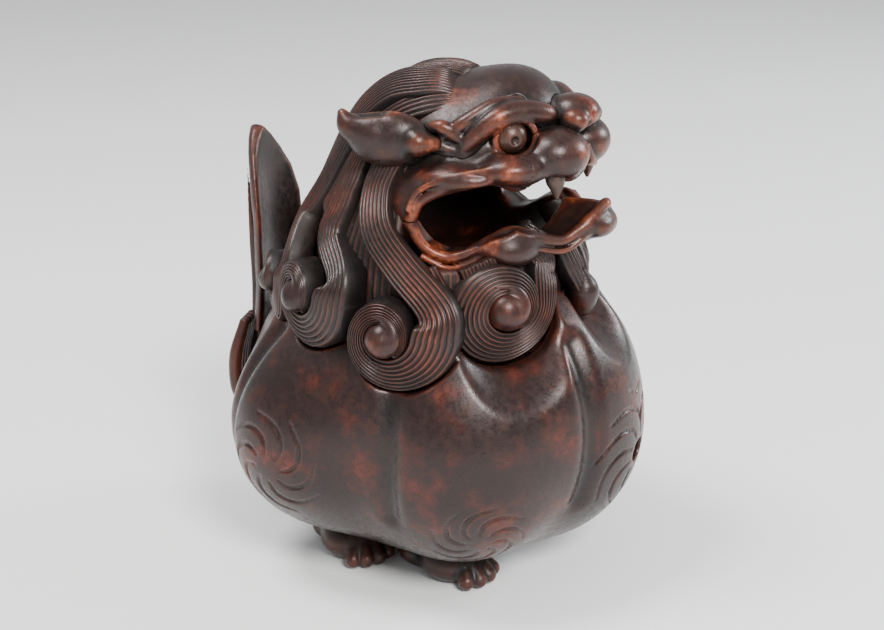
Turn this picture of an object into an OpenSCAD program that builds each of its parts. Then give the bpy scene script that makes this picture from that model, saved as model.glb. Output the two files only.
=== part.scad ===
// Bronze foo dog censer: a globe-bodied lion on four tucked paws, with an upright tail,
// a lift-off head whose mane overhangs the shoulder, and an ash liner hung in the neck.
// +Z is up, the face looks towards -Y and the animal's right side is on -X.

/* [Body] */
// Width of the globe across the flanks
body_w = 104; // [98:1:106]
// Depth of the globe from belly to rump
body_d = 117; // [114:1:120]
// Height of the widest ring of the globe above the ground
body_z = 50; // [48:1:52]
// Wall thickness of the castings
wall = 3; // [2.5:0.1:4]
// Diameter of the belly vent
vent_d = 6.5; // [5:0.5:9]
// Height of the belly vent's centre above the ground
vent_z = 39; // [34:1:44]

/* [Neck] */
// Inner diameter of the neck ring
neck_d = 60; // [56:1:62]
// Height of the seat that the lid rests on
seat_z = 72; // [71:0.5:73]

/* [Head] */
// Height of the crown above the ground
crown_z = 142; // [138:1:146]
// Half width between the corners of the mouth
mouth_x = 32; // [30:1:34]
// Diameter of each eyeball
eye_d = 9; // [8:0.5:9]

/* [Mane] */
// Diameter of the front and side curls
curl_d = 27; // [24:1:28]
// Thickness of the applied locks
lock_t = 6; // [5:0.5:7]

/* [Tail] */
// Height of the tail's tip above the ground
tail_z = 123; // [115:1:130]
// Width of the tail at its fullest
tail_w = 24; // [18:1:26]

/* [Liner] */
// Wall thickness of the ash liner
liner_t = 1.2; // [0.8:0.1:1.6]
// Depth of the ash liner below the seat
liner_h = 38; // [30:1:40]

/* [Hidden] */
fine = 40;
medium = 26;
coarse = 14;
gap = 0.3;
body_y = -4.5;
belly_h = body_z - 1.5;
shoulder_h = 44;
shell_top = seat_z - 2.5;
neck_r = neck_d / 2;
ring_out_r = neck_r + 5.5;
ring_bore_r = neck_r + 1.9;
ring_skirt_r = neck_r + 4;
ledge_z = seat_z - 6;
collar_out_r = ring_bore_r - 0.4;
collar_in_r = collar_out_r - 2;
collar_flange_r = ring_out_r + 0.5;
collar_top = seat_z + 3;
liner_flange_r = ring_bore_r - gap;
liner_flange_t = 1;
liner_r = neck_r - 5;
liner_top = ledge_z + liner_flange_t;
tail_y = 50;
tenon_y = 52;
tenon_z = 58;
paw_front = [-20, -21];
paw_hind = [-19, 14];
face_floor = 114;
sole_cut = 1.4;

// ---------- shared shapes ----------

// One casting: everything inside becomes a single skin, at its own size
module casting() {
  resize([0, 0, 0]) children();
}

// An ellipsoid with its centre and three half-axes
module ellipsoid(at, half, facets = coarse) {
  translate(at) scale(half) sphere(r = 1, $fn = facets);
}

// The children and their mirror image when the piece is on the left
module on_side(left = false) {
  if (left) mirror([1, 0, 0]) children();
  else children();
}

// The globe's outer form, shrunk by the wall for the cavity
module globe(inset = 0) {
  half = [body_w / 2 - inset, body_d / 2 - inset];
  intersection() {
    ellipsoid([0, body_y, body_z], [half[0], half[1], belly_h - inset], fine);
    translate([-100, -100, body_z - 100]) cube([200, 200, 100]);
  }
  intersection() {
    ellipsoid([0, body_y, body_z], [half[0], half[1], shoulder_h - inset], fine);
    translate([-100, -100, body_z]) cube([200, 200, 100]);
  }
}

// Solid form of the cape that the locks lie on
module cape(inset = 0) {
  hull() {
    translate([0, body_y + 4, collar_top - 1]) cylinder(r = 37 - inset, h = 3, $fn = medium);
    ellipsoid([0, 1, 98], [33 - inset, 34 - inset, 20 - inset], medium);
    ellipsoid([0, -4, 114], [27 - inset, 27 - inset, 25 - inset], medium);
  }
}

// Solid form of the upper head
module cranium(inset = 0) {
  hull() {
    ellipsoid([0, -14, crown_z - 22], [25 - inset, 23 - inset, 22 - inset], medium);
    ellipsoid([0, -27, 126], [18 - inset, 13 - inset, 14.5 - inset], medium);
    ellipsoid([0, -16, face_floor - 1], [mouth_x - 4 - inset, 19 - inset, 6 - inset], medium);
  }
}

// Solid form of the lower jaw
module jaw_form(inset = 0) {
  hull() {
    ellipsoid([0, -44 + inset, 104 + inset * 0.6], [7, 6, 4.5]);
    for (x = [-1, 1])
      ellipsoid([x * (mouth_x - 5 - inset), -18, 103 + inset * 0.6], [5, 8, 5]);
    ellipsoid([0, -22, 96 + inset], [20 - inset, 18 - inset, 7]);
  }
}

// ---------- body ----------

module body_shell() {
  color([0.10, 0.06, 0.05])
  difference() {
    casting() difference() {
      globe();
      globe(wall);
      translate([0, body_y, shell_top]) cylinder(r = 80, h = 30, $fn = medium);
      translate([0, body_y, body_z]) cylinder(r = ring_skirt_r + 0.1, h = 40, $fn = fine);
      tail_tenon(gap);
    }
    translate([0, 0, vent_z]) rotate([90, 0, 0]) cylinder(d = vent_d, h = 80, $fn = fine);
  }
}

module neck_ring() {
  color([0.12, 0.07, 0.05])
  translate([0, body_y, 0]) rotate_extrude($fn = fine) polygon([
    [neck_r, ledge_z - 2], [ring_skirt_r, ledge_z - 2], [ring_skirt_r, shell_top],
    [ring_out_r, shell_top], [ring_out_r, seat_z], [ring_bore_r, seat_z],
    [ring_bore_r, ledge_z], [neck_r, ledge_z]
  ]);
}

// A tucked foot with rounded toes, cut flat at the ground
module paw(at, turn, toes = 3) {
  difference() {
    translate([at[0], at[1], -sole_cut]) rotate([0, 0, turn]) {
      hull() {
        ellipsoid([0, 2, 6], [10, 8, 6]);
        ellipsoid([0, 14, 4], [8, 8, 4]);
      }
      for (i = [0 : toes - 1])
        rotate([0, 0, (i - (toes - 1) / 2) * 32]) ellipsoid([0, -7, 3.4], [4.4, 6, 3.8]);
    }
    translate([-100, -100, -20]) cube([200, 200, 20]);
    globe();
  }
}

module front_paw(left) {
  color([0.09, 0.05, 0.04]) on_side(left) casting() paw(paw_front, -22, 4);
}

module hind_paw(left) {
  color([0.07, 0.045, 0.04]) on_side(left) casting() paw(paw_hind, -38, 3);
}

// ---------- tail ----------

module tail_tenon(grow = 0) {
  translate([-6 - grow, tenon_y - 6, tenon_z - 2 - grow]) cube([12 + 2 * grow, 12, 8 + 2 * grow]);
}

module tail() {
  color([0.09, 0.05, 0.04])
  casting() difference() {
    union() {
      hull() {
        ellipsoid([0, tail_y + 2.5, 70], [tail_w / 2 - 3, 4.5, 8]);
        ellipsoid([0, tail_y, 92], [tail_w / 2, 5, 10]);
        ellipsoid([0, tail_y + 8, tail_z - 4], [1.6, 1.6, 4]);
      }
      hull() {
        ellipsoid([0, tail_y + 3, 70], [8, 4.5, 6]);
        ellipsoid([0, tail_y + 4, tenon_z + 4], [7, 4, 4]);
      }
    }
    globe(-gap / 2);
    tail_root_form();
  }
  color([0.09, 0.05, 0.04])
  difference() {
    casting() intersection() {
      tail_tenon();
      globe(-gap / 2);
    }
    translate([0, tenon_y - 3.5, 0]) cylinder(d = 2, h = 100, $fn = fine);
  }
}

// The ribbed tuft that the tail springs from
module tail_root_form() {
  for (i = [-2 : 2])
    ellipsoid([i * 4.2, 57.5 - abs(i) * 1.6, 46], [3, 5.4, 17 - abs(i) * 2]);
}

module tail_root() {
  color([0.07, 0.045, 0.04])
  casting() difference() {
    tail_root_form();
    globe(-gap / 2);
    tail_tenon(gap);
  }
}

// Rivet across the tail's tenon, inside the shell
module tail_rivet() {
  color([0.35, 0.22, 0.12])
  translate([0, tenon_y - 3.5, tenon_z - 5]) {
    cylinder(d = 1.9, h = 13.5, $fn = fine);
    cylinder(d = 4, h = 1.4, $fn = fine);
  }
}

// ---------- liner ----------

module ash_liner() {
  bottom = liner_top - liner_h;
  color([0.55, 0.28, 0.16])
  translate([0, body_y, 0]) rotate_extrude($fn = fine) polygon([
    [0, bottom], [liner_r - 5, bottom], [liner_r - 1, bottom + 2], [liner_r, bottom + 6],
    [liner_r, ledge_z], [liner_flange_r, ledge_z], [liner_flange_r, liner_top],
    [liner_r - liner_t, liner_top], [liner_r - liner_t, bottom + 6.5],
    [liner_r - liner_t - 0.8, bottom + 3], [liner_r - 5.5, bottom + liner_t], [0, bottom + liner_t]
  ]);
}

// ---------- head ----------

module mane_shell() {
  color([0.09, 0.055, 0.045])
  casting() difference() {
    cape();
    cape(wall);
    translate([0, 0, collar_top - 60]) cube([200, 200, 120], center = true);
    translate([0, body_y, collar_top - 1]) cylinder(r = collar_in_r, h = 10, $fn = medium);
    cranium(wall);
    jaw_form(wall);
    hull() {
      ellipsoid([0, -40, 109], [mouth_x + 4, 10, 4]);
      ellipsoid([0, -18, 108], [mouth_x + 8, 12, 5]);
    }
  }
}

module lid_collar_form() {
  translate([0, body_y, 0]) rotate_extrude($fn = fine) polygon([
    [collar_in_r, seat_z - 4], [collar_out_r, seat_z - 4], [collar_out_r, seat_z + gap],
    [collar_flange_r, seat_z + gap], [collar_flange_r, collar_top], [collar_in_r, collar_top]
  ]);
}

module lid_collar() {
  color([0.12, 0.07, 0.05]) lid_collar_form();
}

module skull() {
  color([0.16, 0.07, 0.05])
  casting() difference() {
    cranium();
    cranium(wall);
    cape();
    translate([-50, -60, 0]) cube([100, 100, face_floor]);
  }
}

module lower_jaw() {
  color([0.13, 0.06, 0.04])
  casting() difference() {
    union() {
      jaw_form();
      ellipsoid([0, -46.5, 101.5], [8, 4.5, 4.5]);
    }
    jaw_form(wall);
    cape();
    hull() {
      ellipsoid([0, -36, 112], [mouth_x - 8, 11, 7]);
      ellipsoid([0, -10, 112], [mouth_x - 6, 12, 8]);
    }
  }
}

module nose() {
  color([0.2, 0.08, 0.05])
  casting() difference() {
    union() {
      ellipsoid([0, -40.5, 134.5], [6.5, 6, 5.5]);
      for (x = [-6.5, 6.5]) ellipsoid([x, -38.5, 132.8], [4.4, 4.6, 4]);
    }
    cranium();
  }
}

module muzzle(left) {
  color([0.24, 0.09, 0.05]) on_side(left) casting()
  difference() {
    union() {
      ellipsoid([-10.5, -39, 121.5], [10.4, 8.2, 7]);
      ellipsoid([-20, -32, 117.5], [9, 6, 3.6]);
    }
    cranium();
    eye_ball(gap);
    translate([-0.1, -80, 80]) cube([60, 80, 80]);
  }
}

module brow(left) {
  color([0.2, 0.08, 0.05]) on_side(left) casting()
  difference() {
    union() {
      hull() {
        ellipsoid([-14.5, -34, 134.5], [3.2, 4, 3.4]);
        ellipsoid([-16, -31.5, 135.5], [4.6, 5, 4]);
      }
      hull() {
        ellipsoid([-16, -31.5, 135.5], [4.6, 5, 4]);
        ellipsoid([-24.5, -24, 131], [3.6, 5, 4.4]);
      }
      ellipsoid([-26, -17, 127.5], [3.4, 4.6, 3.6]);
    }
    cranium();
    eye_ball(gap);
  }
}

// The eyeball, grown by a clearance to cut its pocket
module eye_ball(grow = 0) {
  translate([-16.6, -30, 126.8]) sphere(d = eye_d + 2 * grow, $fn = medium);
}

module eye(left) {
  color([0.14, 0.09, 0.07]) on_side(left) eye_ball();
}

module ear(left) {
  color([0.2, 0.08, 0.05]) on_side(left) casting()
  difference() {
    union() {
      hull() {
        ellipsoid([-26, -6, 127], [4, 6, 5.5]);
        ellipsoid([-31, 4, 126.5], [4.4, 7, 6.5]);
      }
      hull() {
        ellipsoid([-31, 4, 126.5], [4.4, 7, 6.5]);
        ellipsoid([-34, 12, 131], [2, 2.4, 2.6]);
      }
    }
    cranium();
    cape();
    brow();
  }
}

module front_teeth() {
  color([0.3, 0.27, 0.25])
  casting() difference() {
    for (x = [-3.2, 3.2]) ellipsoid([x, -41, 117], [3, 2.2, 3]);
    cranium();
  }
}

module fang(left) {
  color([0.3, 0.27, 0.25]) on_side(left) casting()
  difference() {
    hull() {
      ellipsoid([-13.4, -40, 116], [2.6, 2.4, 2.4]);
      ellipsoid([-13, -40.5, 111.6], [0.8, 0.8, 0.8], 12);
    }
    cranium();
  }
}

module chin_tuft() {
  color([0.12, 0.06, 0.045])
  casting() difference() {
    hull() {
      ellipsoid([0, -43.5, 80], [8.5, 4, 5]);
      ellipsoid([0, -38, 92], [7, 5, 5]);
    }
    cape();
    jaw_form();
  }
}

// ---------- mane locks ----------

// A curl: a round boss facing the given heading, with a bulb at its centre
module curl(at, heading, tilt, size) {
  translate(at) rotate([0, 0, heading]) rotate([90 + tilt, 0, 0]) {
    cylinder(d = size, h = lock_t, center = true, $fn = medium);
    translate([0, 0, lock_t / 2]) scale([1, 1, 0.8]) sphere(d = size * 0.34, $fn = coarse);
  }
}

// A strand from its root down to the edge of its curl
module strand(from, to, wide) {
  hull() {
    ellipsoid(from, [wide, lock_t * 0.6, wide]);
    ellipsoid(to, [wide, lock_t * 0.6, wide]);
  }
}

module lock_front(left) {
  color([0.12, 0.065, 0.045]) on_side(left) casting()
  difference() {
    union() {
      curl([-24.5, -37, 84], -35, -12, curl_d);
      strand([-28, -22, 98], [-17, -38, 88], 6);
    }
    cape();
    jaw_form();
    chin_tuft();
    translate([-100, -100, 0]) cube([200, 200, seat_z - 1]);
    lid_collar_form();
  }
}

module lock_side(left) {
  color([0.12, 0.065, 0.045]) on_side(left) casting()
  difference() {
    union() {
      curl([-42.5, -8, 83], -84, -10, curl_d);
      strand([-30, -6, 112], [-36, -14, 92], 7);
    }
    cape();
    jaw_form();
    lock_front();
    ear();
    translate([-100, -100, 0]) cube([200, 200, seat_z - 1]);
    lid_collar_form();
  }
}

module lock_rear(left) {
  color([0.12, 0.065, 0.045]) on_side(left) casting()
  difference() {
    union() {
      curl([-36, 19, 88], -125, -8, curl_d - 3);
      strand([-24, 10, 116], [-34, 10, 98], 7);
    }
    cape();
    lock_side();
    ear();
    translate([-100, -100, 0]) cube([200, 200, seat_z - 1]);
    lid_collar_form();
  }
}

module lock_flame(left) {
  color([0.11, 0.06, 0.045]) on_side(left) casting()
  difference() {
    hull() {
      ellipsoid([-14, 22, 118], [6, 5, 6]);
      ellipsoid([-22, 34, 96], [6, 5, 10]);
      ellipsoid([-23, 36, 80], [4, 4, 5]);
    }
    cape();
    lock_rear();
    translate([-12, 0, 0]) cube([60, 80, 200]);
  }
}

// ---------- assembly ----------

body_shell();
neck_ring();
front_paw(false);  // front_paw_right
front_paw(true);  // front_paw_left
hind_paw(false);  // hind_paw_right
hind_paw(true);  // hind_paw_left
tail();
tail_root();
tail_rivet();
ash_liner();
mane_shell();
lid_collar();
skull();
lower_jaw();
nose();
muzzle(false);  // muzzle_right
muzzle(true);  // muzzle_left
brow(false);  // brow_right
brow(true);  // brow_left
eye(false);  // eye_right
eye(true);  // eye_left
ear(false);  // ear_right
ear(true);  // ear_left
front_teeth();
fang(false);  // fang_right
fang(true);  // fang_left
chin_tuft();
lock_front(false);  // lock_front_right
lock_front(true);  // lock_front_left
lock_side(false);  // lock_side_right
lock_side(true);  // lock_side_left
lock_rear(false);  // lock_rear_right
lock_rear(true);  // lock_rear_left
lock_flame(false);  // lock_flame_right
lock_flame(true);  // lock_flame_left
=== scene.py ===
"""Foo dog censer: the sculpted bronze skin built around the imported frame.

Everything is sculpted in millimetres as signed distances, meshed, and then placed in metres.
The animal's right side (-X) is made and the left side is its mirror image.
"""

import math

import bpy
import numpy as np
import openvdb
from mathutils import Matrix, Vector


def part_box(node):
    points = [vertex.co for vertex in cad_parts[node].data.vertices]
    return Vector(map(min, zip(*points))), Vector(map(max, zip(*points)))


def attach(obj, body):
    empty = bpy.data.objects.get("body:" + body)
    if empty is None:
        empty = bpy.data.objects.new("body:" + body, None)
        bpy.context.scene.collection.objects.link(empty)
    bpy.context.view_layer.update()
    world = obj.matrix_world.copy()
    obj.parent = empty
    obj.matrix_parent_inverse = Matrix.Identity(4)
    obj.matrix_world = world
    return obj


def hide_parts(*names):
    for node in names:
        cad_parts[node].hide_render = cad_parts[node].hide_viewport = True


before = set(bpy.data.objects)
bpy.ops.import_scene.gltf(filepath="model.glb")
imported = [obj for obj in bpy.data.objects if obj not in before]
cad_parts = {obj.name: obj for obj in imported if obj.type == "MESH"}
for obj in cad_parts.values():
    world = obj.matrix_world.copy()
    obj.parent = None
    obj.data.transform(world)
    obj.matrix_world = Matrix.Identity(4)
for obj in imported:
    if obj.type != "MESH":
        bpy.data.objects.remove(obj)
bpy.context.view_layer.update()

MM = 0.001
FAR = 6.0
COARSE = 1.0
HEAD_STEP = 0.36 * COARSE
BODY_STEP = 0.42 * COARSE
SMALL_STEP = 0.22 * COARSE


def box_mm(node):
    """A CAD node's lowest and highest corners in millimetres."""
    low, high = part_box(node)
    return np.array(low) / MM, np.array(high) / MM


# ---------- driving places, from the frame ----------

BODY_LOW, BODY_HIGH = box_mm("body_shell")
RING_LOW, RING_HIGH = box_mm("neck_ring")
COLLAR_LOW, COLLAR_HIGH = box_mm("lid_collar")
SKULL_LOW, SKULL_HIGH = box_mm("skull")
TAIL_LOW, TAIL_HIGH = box_mm("tail")

BODY_HALF = (BODY_HIGH - BODY_LOW) / 2
BODY_Y = (BODY_LOW[1] + BODY_HIGH[1]) / 2
BODY_Z = 50.0
SHOULDER = 46.0
SEAT_Z = RING_HIGH[2]
RING_R = (RING_HIGH[0] - RING_LOW[0]) / 2
COLLAR_R = (COLLAR_HIGH[0] - COLLAR_LOW[0]) / 2
COLLAR_TOP = COLLAR_HIGH[2]
COLLAR_IN_R = 29.5
CROWN_Z = SKULL_HIGH[2]
VENT_Z = 39.0
VENT_R = 3.25
WALL = 3.0


# ---------- signed distances ----------

def smooth_min(a, b, k):
    """The union of two shapes, with a fillet about k wide."""
    h = np.maximum(k - np.abs(a - b), 0.0) / k
    return np.minimum(a, b) - h * h * (k * 0.25)


def smooth_max(a, b, k):
    """The overlap of two shapes, with its edge rounded about k wide."""
    return -smooth_min(-a, -b, k)


def egg(x, y, z, centre, half, turn=0.0, lean=0.0):
    """Distance to an ellipsoid, turned about Z and then leant about its own X, in degrees."""
    px, py, pz = x - centre[0], y - centre[1], z - centre[2]
    if turn:
        c, s = math.cos(math.radians(turn)), math.sin(math.radians(turn))
        px, py = c * px + s * py, -s * px + c * py
    if lean:
        c, s = math.cos(math.radians(lean)), math.sin(math.radians(lean))
        py, pz = c * py + s * pz, -s * py + c * pz
    k0 = np.sqrt((px / half[0]) ** 2 + (py / half[1]) ** 2 + (pz / half[2]) ** 2)
    k1 = np.sqrt((px / half[0] ** 2) ** 2 + (py / half[1] ** 2) ** 2 + (pz / half[2] ** 2) ** 2)
    return k0 * (k0 - 1.0) / np.maximum(k1, 1e-6)


def link(x, y, z, a, b, ra, rb):
    """Distance to a round bar from a to b whose radius runs from ra to rb."""
    ab = b - a
    t = ((x - a[0]) * ab[0] + (y - a[1]) * ab[1] + (z - a[2]) * ab[2]) / max(ab @ ab, 1e-9)
    t = np.clip(t, 0.0, 1.0)
    dx, dy, dz = x - a[0] - t * ab[0], y - a[1] - t * ab[1], z - a[2] - t * ab[2]
    return np.sqrt(dx * dx + dy * dy + dz * dz) - (ra + (rb - ra) * t)


def spline(points, count):
    """A smooth curve through the points, evenly sampled in each span's parameter."""
    p = np.array(points, float)
    p = np.vstack([2 * p[0] - p[1], p, 2 * p[-1] - p[-2]])
    spans = len(p) - 3
    u = np.linspace(0, spans, count)
    i = np.minimum(u.astype(int), spans - 1)
    t = (u - i)[:, None]
    a, b, c, d = p[i], p[i + 1], p[i + 2], p[i + 3]
    return 0.5 * (2 * b + (c - a) * t + (2 * a - 5 * b + 4 * c - d) * t ** 2
                  + (3 * b - a - 3 * c + d) * t ** 3)


class Clay:
    """A block of distances on a grid, which shapes are added to and cut from."""

    def __init__(self, low, high, step):
        self.step = step
        self.low = np.array(low, float)
        count = np.ceil((np.array(high) - self.low) / step).astype(int) + 1
        self.axes = [(self.low[i] + step * np.arange(count[i])).astype(np.float32) for i in range(3)]
        self.d = np.full(count, FAR, np.float32)

    def part(self, low, high):
        """The slices of the grid that hold a box."""
        cut = []
        for i in range(3):
            a = int(np.clip((low[i] - self.low[i]) / self.step, 0, self.d.shape[i]))
            b = int(np.clip((high[i] - self.low[i]) / self.step + 2, 0, self.d.shape[i]))
            cut.append(slice(a, b))
        return tuple(cut)

    def at(self, cut=(slice(None),) * 3):
        """Coordinates of the grid's points, ready to broadcast."""
        return (self.axes[0][cut[0]][:, None, None], self.axes[1][cut[1]][None, :, None],
                self.axes[2][cut[2]][None, None, :])

    def egg(self, centre, half, k=1.0, turn=0.0, lean=0.0, cut=False):
        reach = max(half) + k + 3 if (turn or lean) else None
        span = np.array([reach] * 3) if reach else np.array(half) + k + 3
        c = np.array(centre, float)
        region = self.part(c - span, c + span)
        shape = egg(*self.at(region), centre, half, turn, lean)
        self.merge(region, shape, k, cut)

    def rope(self, points, radii, k=0.8, count=None, cut=False):
        """A bead along a curve, its radius following the list of radii."""
        p = spline(points, count or max(12, 6 * len(points)))
        r = np.interp(np.linspace(0, 1, len(p)), np.linspace(0, 1, len(radii)), radii)
        low, high = p.min(0) - max(radii) - k - 2, p.max(0) + max(radii) + k + 2
        region = self.part(low, high)
        if min(s.stop - s.start for s in region) <= 0:
            return
        shape = np.full(self.d[region].shape, FAR * 2, np.float32)
        for a, b, ra, rb in zip(p[:-1], p[1:], r[:-1], r[1:]):
            pad = max(ra, rb) + k + 2
            sub = self.part(np.minimum(a, b) - pad, np.maximum(a, b) + pad)
            if min(s.stop - s.start for s in sub) <= 0:
                continue
            inner = tuple(slice(s.start - t.start, s.stop - t.start) for s, t in zip(sub, region))
            shape[inner] = np.minimum(shape[inner], link(*self.at(sub), a, b, ra, rb))
        self.merge(region, shape, k, cut)

    def merge(self, region, shape, k, cut=False):
        if cut:
            self.d[region] = smooth_max(self.d[region], -shape, k)
        else:
            self.d[region] = smooth_min(self.d[region], shape, k)

    def sample(self, points, field=None):
        """Distances at the given points, between the grid's own."""
        field = self.d if field is None else field
        g = (np.asarray(points) - self.low) / self.step
        top = np.array(field.shape) - 1.001
        g = np.clip(g, 0, top)
        i = g.astype(int)
        f = g - i
        out = 0.0
        for corner in range(8):
            o = [(corner >> a) & 1 for a in range(3)]
            w = np.prod([f[..., a] if o[a] else 1 - f[..., a] for a in range(3)], axis=0)
            out = out + w * field[i[..., 0] + o[0], i[..., 1] + o[1], i[..., 2] + o[2]]
        return out

    def mirrored(self):
        """The whole block, when this one is its right half and ends on x = 0."""
        whole = Clay.__new__(Clay)
        whole.step = self.step
        whole.low = self.low.copy()
        whole.d = np.concatenate([self.d, self.d[-2::-1]], axis=0)
        xs = self.low[0] + self.step * np.arange(whole.d.shape[0])
        whole.axes = [xs.astype(np.float32), self.axes[1], self.axes[2]]
        return whole


def blurred(field, reach):
    """The field averaged over a cube of 2 * reach + 1 samples."""
    out = field.astype(np.float32)
    for axis in range(3):
        pad = [(reach + 1, reach) if a == axis else (0, 0) for a in range(3)]
        total = np.cumsum(np.pad(out, pad, mode="edge"), axis=axis, dtype=np.float32)
        n = field.shape[axis]
        high = np.take(total, range(2 * reach + 1, 2 * reach + 1 + n), axis=axis)
        low = np.take(total, range(0, n), axis=axis)
        out = (high - low) / (2 * reach + 1)
    return out


# ---------- meshes ----------

def skin_of(field, low, step):
    """Points and quads of the zero surface of a block of distances."""
    grid = openvdb.FloatGrid(FAR)
    edge = np.pad(np.clip(field, -FAR, FAR), 1, constant_values=FAR).astype(np.float32)
    grid.copyFromArray(edge)
    points, quads = grid.convertToQuads(0.0)
    return np.asarray(points, float) * step + (np.array(low) - step), np.asarray(quads, int)


def put(name, points, faces, attributes=None):
    """Makes a smooth-shaded object from points in millimetres."""
    mesh = bpy.data.meshes.new(name)
    if isinstance(faces, np.ndarray):
        sides = faces.shape[1]
        mesh.vertices.add(len(points))
        mesh.vertices.foreach_set("co", (points * MM).astype(np.float32).ravel())
        mesh.loops.add(faces.size)
        mesh.loops.foreach_set("vertex_index", faces.astype(np.int32).ravel())
        mesh.polygons.add(len(faces))
        mesh.polygons.foreach_set("loop_start", np.arange(0, faces.size, sides, dtype=np.int32))
        mesh.update(calc_edges=True)
    else:
        mesh.from_pydata((points * MM).tolist(), [], faces)
    for key, values in (attributes or {}).items():
        layer = mesh.attributes.new(key, "FLOAT", "POINT")
        layer.data.foreach_set("value", np.asarray(values, np.float32))
    mesh.validate()
    mesh.shade_smooth()
    thing = bpy.data.objects.new(name, mesh)
    bpy.context.collection.objects.link(thing)
    return thing


def signed_volume(points, faces):
    a, b, c = points[faces[:, 0]], points[faces[:, 1]], points[faces[:, 2]]
    total = np.einsum("ij,ij->i", a, np.cross(b, c)).sum()
    if faces.shape[1] == 4:
        d = points[faces[:, 3]]
        total += np.einsum("ij,ij->i", a, np.cross(c, d)).sum()
    return total / 6


def cast(name, clay, field, wear_scale=2.2):
    """Meshes one piece and stores how proud or how sunken each point lies."""
    keep = np.argwhere(field < clay.step * 2)
    low, high = keep.min(0), keep.max(0) + 1
    cut = tuple(slice(max(a - 2, 0), b + 2) for a, b in zip(low, high))
    points, quads = skin_of(field[cut], clay.low + clay.step * np.array([s.start for s in cut]), clay.step)
    if signed_volume(points, quads) < 0:
        quads = quads[:, ::-1]
    if clay.soft is None:
        clay.soft = [blurred(clay.d, max(1, round(r / clay.step))) for r in (0.9, wear_scale)]
    fine, broad = [clay.sample(points, s) - clay.sample(points) for s in clay.soft]
    return points, quads, {"proud": broad, "fine": fine}


Clay.soft = None


def both_sides(name, points, faces, attributes, nodes):
    """The right-hand piece and its mirror image, as (object, node) pairs."""
    made = []
    for side, sign in (("right", 1), ("left", -1)):
        p = points * np.array([sign, 1, 1])
        f = faces if sign > 0 else faces[:, ::-1]
        made.append((put(f"{name}_{side}", p, f, attributes), f"{nodes}_{side}"))
    return made


# ---------- camera, light and floor ----------

def aim(thing, place, target):
    thing.location = place
    thing.rotation_euler = (Vector(target) - Vector(place)).to_track_quat("-Z", "Y").to_euler()


def make_camera():
    """Looks at the statue's right flank from a little ahead, as the photograph does."""
    turn, rise, far = math.radians(-67.2), math.radians(19.3), 390.5 * MM
    target = np.array([0.0, -4.0, 70.3]) * MM
    away = np.array([math.sin(turn) * math.cos(rise), -math.cos(turn) * math.cos(rise), math.sin(rise)])
    data = bpy.data.cameras.new("camera")
    data.lens, data.sensor_width = 56.3, 36.0
    data.clip_start, data.clip_end = 0.01, 20.0
    camera = bpy.data.objects.new("camera", data)
    bpy.context.collection.objects.link(camera)
    aim(camera, target + away * far, target)
    bpy.context.scene.camera = camera


def add_light(name, place, target, width, watts, colour=(1, 1, 1)):
    data = bpy.data.lights.new(name, "AREA")
    data.shape = "DISK"
    data.size = width
    data.energy = watts
    data.color = colour
    light = bpy.data.objects.new(name, data)
    bpy.context.collection.objects.link(light)
    aim(light, place, target)


def make_studio():
    middle = (0, 0, 0.07)
    add_light("window", (-0.75, -0.75, 0.95), middle, 0.42, 26, (1.0, 0.99, 0.97))
    add_light("fill", (0.8, -0.9, 0.55), middle, 0.35, 11, (0.90, 0.96, 1.0))
    add_light("top", (-0.25, 0.35, 1.1), middle, 0.4, 12)
    world = bpy.data.worlds.new("room")
    world.use_nodes = True
    sky = world.node_tree.nodes["Background"]
    sky.inputs["Color"].default_value = (0.93, 0.94, 0.95, 1)
    sky.inputs["Strength"].default_value = 0.75
    bpy.context.scene.world = world
    data = bpy.data.meshes.new("floor")
    r = 3.0
    data.from_pydata([(-r, -r, 0), (r, -r, 0), (r, r, 0), (-r, r, 0)], [], [(0, 1, 2, 3)])
    floor = bpy.data.objects.new("floor", data)
    bpy.context.collection.objects.link(floor)
    floor.data.materials.append(plain("floor_paper", (0.86, 0.86, 0.855), 0.8))


# ---------- materials ----------

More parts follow.
